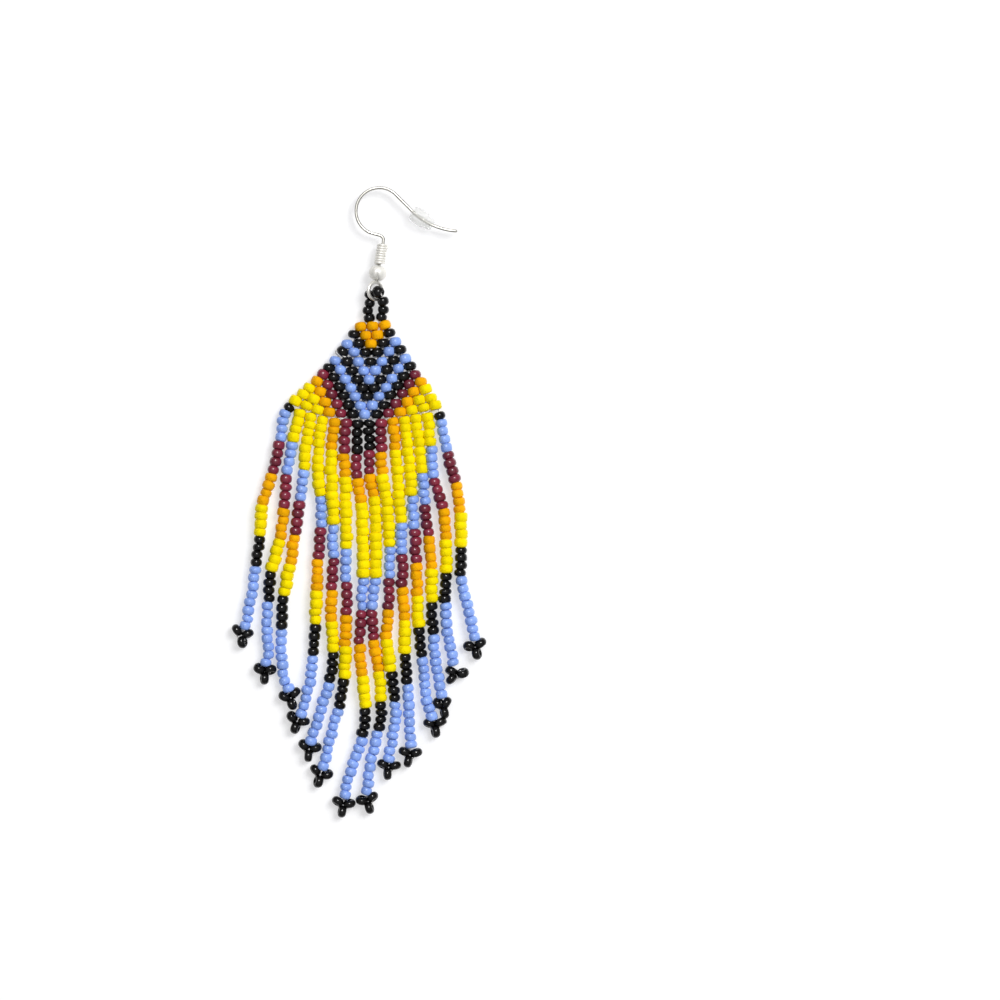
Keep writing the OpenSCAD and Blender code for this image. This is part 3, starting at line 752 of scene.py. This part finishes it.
class EARRING_OT_stopper(bpy.types.Operator):
    """Mould the clear stopper on the tail of the ear wire"""
    bl_idname = "earring.stopper"
    bl_label = "Stopper"

    def execute(self, context):
        length, r = 4.3, 1.45
        a = math.radians(STOPPER_ANGLE)
        along = level(a + QUARTER)
        centre = slide_centre() + (TAIL_R - 0.1) * level(a)
        # Outline from the wide back end over the shoulder to the nose, edges rounded
        outline = np.array([
            (0.62, -0.5), (0.8, -0.495), (0.89, -0.475), (0.96, -0.43), (1.0, -0.36),
            (1.0, -0.12), (1.0, 0.07), (0.985, 0.11), (0.94, 0.145), (0.86, 0.17),
            (0.8, 0.19), (0.785, 0.24), (0.775, 0.33), (0.74, 0.41), (0.68, 0.46),
            (0.6, 0.49), (0.5, 0.5)]) * (r, length)
        turns = 40
        skin, _ = revolved(outline, turns, centre, along)
        # The bore's middle line follows the tail
        s = np.linspace(0.5, -0.5, 9) * length / TAIL_R * 0.995 + a
        axis = slide_centre() + TAIL_R * level(s)
        flat = np.cross(along, UP)
        ring = spokes(full_turn(turns), flat, np.cross(flat, along))
        bore = (axis[:, None] + BORE_R * ring[None]).reshape(-1, 3)
        quads = grid_quads(len(outline) + len(s), turns, close_u=True, close_v=True)
        piece = new_piece("stopper_moulded", SLIDING, "clear_plastic", ["Clear soft plastic"],
                          np.concatenate([skin, bore]), quads)
        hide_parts("stopper")
        return {"FINISHED"}


def loop_axes():
    """Middles and hole directions of the loop's beads: from the bead before to the bead after,
    with half of the thread's slope."""
    way = np.array([LOOP_ENDS[0], *LOOP, LOOP_ENDS[1]])
    axes = (way[2:] - way[:-2]) * (1, 1, 0.5)
    axes[RING_BEAD] = RING_BEAD_AXIS
    return way[1:-1], unit(axes)


class EARRING_OT_hanging_loop(bpy.types.Operator):
    """String eight black beads through the bottom ring"""
    bl_idname = "earring.hanging_loop"
    bl_label = "Hanging Loop"

    def execute(self, context):
        sizes = context.scene.earring_sizes
        rng = np.random.default_rng(sizes.seed)
        spots, axes = loop_axes()
        n = len(spots)
        # The bead that sits in the ring is the largest
        widths = LOOP_BEAD_WIDTH * LOOP_GROWTH * (1 + rng.normal(0, sizes.size_spread / 2, n))
        lengths = sizes.loop_bead_length / MM * LOOP_GROWTH
        lengths[RING_BEAD] *= 1.1
        # No bead reaches below the table
        spots[:, 2] = np.maximum(spots[:, 2], widths / 2 + 0.01)
        points, quads, _, tone = bead_cloud(spots, axes, widths, lengths, "K" * n, rng)
        piece = new_piece("loop_beads_strung", STATIC, "beads_black", ["Opaque black glass"],
                          points, quads, tone=tone)
        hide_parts("loop_beads")
        return {"FINISHED"}


def row_line(row, x):
    """y on the middle line of a stitched row: the middle plus a rise at each end that grows as
    a power of the distance from the middle."""
    _, x0, x1, y, left, right = row
    t = (x - (x0 + x1) / 2) / ((x1 - x0) / 2)
    return y + np.where(t < 0, left * np.abs(t) ** CURL[0], right * np.abs(t) ** CURL[1])


def row_beads(row):
    """Middles and hole directions of one row's beads, and the even step from bead to bead along
    the row's line. The hole is square to the line."""
    chart, x0, x1 = row[:3]
    x = np.linspace(x0, x1, 200)
    y = row_line(row, x)
    s = run_so_far(np.column_stack([x, y]))
    at = np.linspace(0, s[-1], len(chart))
    x = np.interp(at, s, x)
    y = row_line(row, x)
    slope = (row_line(row, x + 0.01) - row_line(row, x - 0.01)) / 0.02
    axes = unit(np.stack([-slope, np.ones_like(x), 0 * x], axis=1))
    return np.stack([x, y, 0 * x], axis=1), axes, np.full(len(chart), at[1])


class EARRING_OT_stitched_triangle(bpy.types.Operator):
    """Stitch eleven rows of beads in the charted pattern"""
    bl_idname = "earring.stitched_triangle"
    bl_label = "Stitched Triangle"

    def execute(self, context):
        sizes = context.scene.earring_sizes
        rng = np.random.default_rng(sizes.seed + 1)
        width, length = sizes.row_bead_width / MM, sizes.row_bead_length / MM
        middles, axes, steps = [np.concatenate(x) for x in zip(*map(row_beads, ROWS))]
        letters = "".join(row[0] for row in ROWS)
        starts = np.cumsum([0] + [len(row[0]) for row in ROWS])
        n = len(middles)
        # Neighbours in a row press together a little
        widths = np.minimum(width, steps * 1.03) * by_colour(PLUMPNESS["row"], letters) * (
            1 + rng.normal(0, sizes.size_spread * 0.4, n))
        lengths = length * by_colour(TALLNESS["row"], letters) * (
            1 + rng.normal(0, sizes.size_spread, n))
        middles[:, 2] = widths / 2 + rng.uniform(0, 0.05, n)
        middles[:, :2] += rng.normal(0, 0.03, (n, 2))
        axes = unit(axes + rng.normal(0, sizes.tilt_spread * 0.5, (n, 3)) * (1, 1, 0.6))
        for row, place, degrees in TURNED:
            axis = axes[starts[row] + place]
            axis[:2] = spokes(np.radians(degrees), axis, np.cross(UP, axis))[:2]
        piece = new_piece("triangle_beads", STATIC, "beads_orange", GLASSES, *bead_cloud(
            middles, axes, widths, lengths, letters, rng, "row"))
        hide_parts("beaded_panel")
        return {"FINISHED"}


def string_letters(i):
    """Colours of string i from the triangle down; the right half mirrors the left."""
    return TOP_RUNS[min(i, 13 - i)] + COMMON_RUNS


def string_places(i, k):
    """Points of string i on a smooth curve through its route, k beads from its top, the
    direction of the string at each, and the room that one bead has along it."""
    route = np.array(ROUTES[i], float)
    here, ahead, back = [smooth_path(route[:, 1:], route[:, 0], k + d) for d in (0, 0.2, -0.2)]
    way = (ahead - back) / 0.4
    room = np.linalg.norm(way, axis=1)
    return here, way / room[:, None], room


def tip_places(i):
    """The place where a tip's three beads meet, their middles, and the directions of their holes,
    level and square to the line from that place."""
    x, y, *polar = TIPS[i]
    meeting = np.array([x, y, TIP_HEIGHT])
    a, reach = np.radians(polar[::2]), np.array(polar[1::2]) * TIP_REACH
    return meeting, meeting + reach[:, None] * level(a), level(a + QUARTER)


def string_beads(i, sizes):
    """Beads of string i and its tip, as bead_cloud gives them."""
    rng = np.random.default_rng(sizes.seed + 10 + i)
    # Beads of chance lengths that touch: bead k reaches from edge k to edge k + 1
    letters = string_letters(i)
    n = len(letters)
    edge = np.arange(n + 1) + rng.normal(0, sizes.size_spread, n + 1)
    flat, way, room = string_places(i, (edge[1:] + edge[:-1]) / 2)
    widths = sizes.bead_width / MM * by_colour(PLUMPNESS["string"], letters) * (
        1 + rng.normal(0, sizes.size_spread, n))
    # The strings are crowded where they leave the triangle
    widths[:CROWDED_BEADS] = np.minimum(widths[:CROWDED_BEADS], CROWDED_WIDTH)
    lengths = np.minimum(room * np.diff(edge), LONGEST) * by_colour(TALLNESS["string"], letters)
    beside = np.stack([-way[:, 1], way[:, 0]], axis=1)
    shift = rng.uniform(-1, 1, n) * sizes.stagger / MM
    shift[0] = 0
    # The last two beads rise over the side beads of the tip
    lift = np.zeros(n)
    lift[-2:] = 0.08, 0.28
    middles = np.column_stack([flat + beside * shift[:, None], widths / 2 + 0.01 + lift])
    axes = np.column_stack([way, np.zeros(n)])
    axes = unit(axes + rng.normal(0, sizes.tilt_spread, (n, 3)) * (1, 1, 0.6))
    _, tips, holes = tip_places(i)
    holes = unit(holes + rng.normal(0, 1, (3, 3)) * (0.06, 0.06, 0.3))
    return bead_cloud(
        np.concatenate([middles, tips]), np.concatenate([axes, holes]),
        np.concatenate([widths, TIP_BEAD_WIDTH * (1 + rng.normal(0, 0.01, 3))]),
        np.concatenate([lengths, np.full(3, sizes.tip_bead_length / MM)]), letters + "KKK", rng)


class EARRING_OT_fringe(bpy.types.Operator):
    """String the fourteen strings of the fringe with their three-bead tips"""
    bl_idname = "earring.fringe"
    bl_label = "Fringe"

    def execute(self, context):
        for i in range(len(ROUTES)):
            name = f"string_{i + 1:02d}"
            slot = "beads_blue" if i in (0, 13) else "beads_yellow"
            piece = new_piece(name + "_beads", STATIC, slot, GLASSES,
                              *string_beads(i, context.scene.earring_sizes))
            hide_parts(name)
        return {"FINISHED"}


def through(middles, axes, reach):
    """Both ends of the way through each bead's hole, so far from its middle, in turn."""
    return (middles[:, None] + np.array([[-reach], [reach]]) * axes[:, None]).reshape(-1, 3)


def new_thread(name, parts):
    """One piece of white thread from several tubes."""
    return new_piece(name, STATIC, "white_thread", ["Twisted beading thread"], *joined(parts))


class EARRING_OT_thread(bpy.types.Operator):
    """Run the white thread through the loop, the triangle and the strings"""
    bl_idname = "earring.thread"
    bl_label = "Thread"

    def execute(self, context):
        r = context.scene.earring_sizes.thread_width / MM / 2
        # Three plies with a lay of 0.9 mm, their grooves a tenth of the radius deep
        twist = dict(plies=3, lay=0.9, groove=0.1)
        # The rims of each loop bead's hole lie 0.63 mm from its middle
        way = through(*loop_axes(), 0.6264)
        s = run_so_far(way)
        loop = smooth_path(way, s, np.arange(0, s[-1], 0.12))
        piece = new_thread("loop_thread_twisted", [tube(loop, r, 10, **twist)])
        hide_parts("loop_thread")

        # Stitches: one thread along each border between rows, which comes up between the beads of
        # the upper row, and one 0.84 mm under the lowest row, which comes up below each bead.
        # z = middle + rise cos(2 pi (k - k0)) for k beads from the left end of the row
        parts = []
        for row, lower in zip(ROWS, ROWS[1:] + [None]):
            spots, _, _ = row_beads(row)
            k = np.arange(0, len(spots) - 0.9, 0.125)
            x = np.interp(k, np.arange(len(spots)), spots[:, 0])
            y = (row_line(row, x) + row_line(lower, x)) / 2 if lower else row_line(row, x) - 0.84
            k0, middle, rise = (0.5, 0.75, 0.45) if lower else (0.0, 1.25, 0.32)
            z = middle + rise * np.cos(2 * math.pi * (k - k0))
            parts.append(tube(np.column_stack([x, y, z]), r, 8, **({} if lower else twist)))
        parts += [tube(curve_through(way, 20), r * 0.9, 8, **twist) for way in SLACK]
        parts.append(tube(curve_through(BRIDGE, 24), r, 8, **twist))
        # The thread inside each string, 0.98 mm up, from just above its first bead
        for i, route in enumerate(ROUTES):
            flat, _, _ = string_places(i, np.arange(len(string_letters(i))) + 0.5)
            line = np.concatenate([[np.array(route[0][1:]) + (0, 0.3)], flat[:-1]])
            parts.append(tube(np.column_stack([line, np.full(len(line), 0.98)]), r, 6))
        new_thread("stitching_thread", parts)

        # The thread of a tip, pulled to the inner side of its three holes
        parts = []
        for i in range(len(TIPS)):
            meeting, middles, holes = tip_places(i)
            at = middles + 0.28 * (meeting - middles) - (0, 0, 0.22)
            way = through(at, holes, 0.45)
            way = np.concatenate([way[-2:], way, way[:2]])
            ring = smooth_path(way, np.arange(len(way)), np.arange(2, len(way) - 2, 0.25))
            parts.append(tube(ring, r, 8, closed=True))
        piece = new_thread("tip_threads_tied", parts)
        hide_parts("tip_threads")
        return {"FINISHED"}


class EARRING_OT_stage(bpy.types.Operator):
    """Lay out the white table, the soft light and the camera straight above"""
    bl_idname = "earring.stage"
    bl_label = "Stage"

    def execute(self, context):
        scene = context.scene
        stage = scene.earring_stage
        # The table is 3 m wide and lies 0.01 mm below z = 0
        points = np.array([(x, y, -0.01) for x, y in (
            (-1500, -1500), (1500, -1500), (1500, 1500), (-1500, 1500))])
        mesh = bpy.data.meshes.new("table")
        mesh.from_pydata((points * MM).tolist(), [], [(0, 1, 2, 3)])
        mesh.materials.append(finish_of("Matt white acrylic"))
        table = placed("table", mesh)

        # Both lamps hang 2 m away. The key lamp gives the shading, the spark lamp only the glints.
        for name, power, size, aim in (
                ("key", stage.key_power, stage.key_size, (0.72, 0.58, 1.0)),
                ("spark", stage.spark_power, 0.55, (0.05, 0.45, 1.0))):
            lamp = bpy.data.lights.new(name, "AREA")
            lamp.energy, lamp.shape, lamp.size = power, "DISK", size
            light = placed(name, lamp)
            light.location = tuple(unit(np.array(aim)) * 2.0)
            light.rotation_euler = light.location.to_track_quat("Z", "Y").to_euler()
            light.visible_diffuse = name == "key"
            light.visible_glossy = name != "key"

        world = bpy.data.worlds.new("studio")
        world.use_nodes = True
        # A white tent that is darkest near the table, so that wire and beads have dark edges:
        # brightness rises with the upward part of the direction
        tree = world.node_tree
        sky = tree.nodes["Background"]
        way = add(tree, "ShaderNodeSeparateXYZ",
                  {"Vector": add(tree, "ShaderNodeTexCoord").outputs["Generated"]})
        rise = spread_over(tree, way.outputs["Z"], 0.24, 1.0, interpolation_type="SMOOTHSTEP")
        bright = blend(tree, rise, (0.0, 0.0, 0.0), linear("#FCFCFF"))
        tree.links.new(bright, sky.inputs["Color"])
        sky.inputs["Strength"].default_value = stage.sky
        scene.world = world
        scene.view_settings.view_transform = "Standard"

        # The lens covers the photograph's width on the table
        wide = PICTURE / DOTS_PER_MM * MM
        sensor = 36.0
        lens = bpy.data.cameras.new("camera")
        lens.lens = stage.lens
        lens.sensor_width = sensor
        lens.clip_start, lens.clip_end = 0.01, 10.0
        camera = placed("camera", lens)
        right, down = [(PICTURE / 2 - dot) / DOTS_PER_MM * MM for dot in ORIGIN_DOT]
        camera.location = (right, -down, wide * stage.lens / sensor)
        scene.camera = camera
        return {"FINISHED"}


class EARRING_PT_panel(bpy.types.Panel):
    """Sizes, colours and pieces of the earring"""
    bl_label = "Beaded Fringe Earring"
    bl_space_type = "VIEW_3D"
    bl_region_type = "UI"
    bl_category = "Earring"

    def draw(self, context):
        for group in GROUPS:
            box = self.layout.box()
            settings = getattr(context.scene, group)
            for name in settings.__annotations__:
                box.prop(settings, name)
        for operator in OPERATORS:
            self.layout.operator(operator.bl_idname)


OPERATORS = (EARRING_OT_ear_wire, EARRING_OT_coil, EARRING_OT_ball, EARRING_OT_stopper,
             EARRING_OT_hanging_loop, EARRING_OT_stitched_triangle, EARRING_OT_fringe,
             EARRING_OT_thread, EARRING_OT_stage)
GROUPS = {"earring_sizes": EarringSizes, "earring_colours": EarringColours,
          "earring_stage": EarringStage}
CLASSES = (*GROUPS.values(), *OPERATORS, EARRING_PT_panel)


def register():
    """Adds the classes to Blender and their settings to the scene"""
    for cls in CLASSES:
        bpy.utils.register_class(cls)
    for name, group in GROUPS.items():
        setattr(bpy.types.Scene, name, bpy.props.PointerProperty(type=group))


def unregister():
    """Takes the settings and the classes away again"""
    for name in reversed(GROUPS):
        delattr(bpy.types.Scene, name)
    for cls in reversed(CLASSES):
        bpy.utils.unregister_class(cls)


def main():
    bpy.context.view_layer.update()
    register()
    bpy.ops.earring.ear_wire()
    bpy.ops.earring.coil()
    bpy.ops.earring.ball()
    bpy.ops.earring.stopper()
    bpy.ops.earring.hanging_loop()
    bpy.ops.earring.stitched_triangle()
    bpy.ops.earring.fringe()
    bpy.ops.earring.thread()
    bpy.ops.earring.stage()
    bpy.context.view_layer.update()


if __name__ == "__main__":
    main()
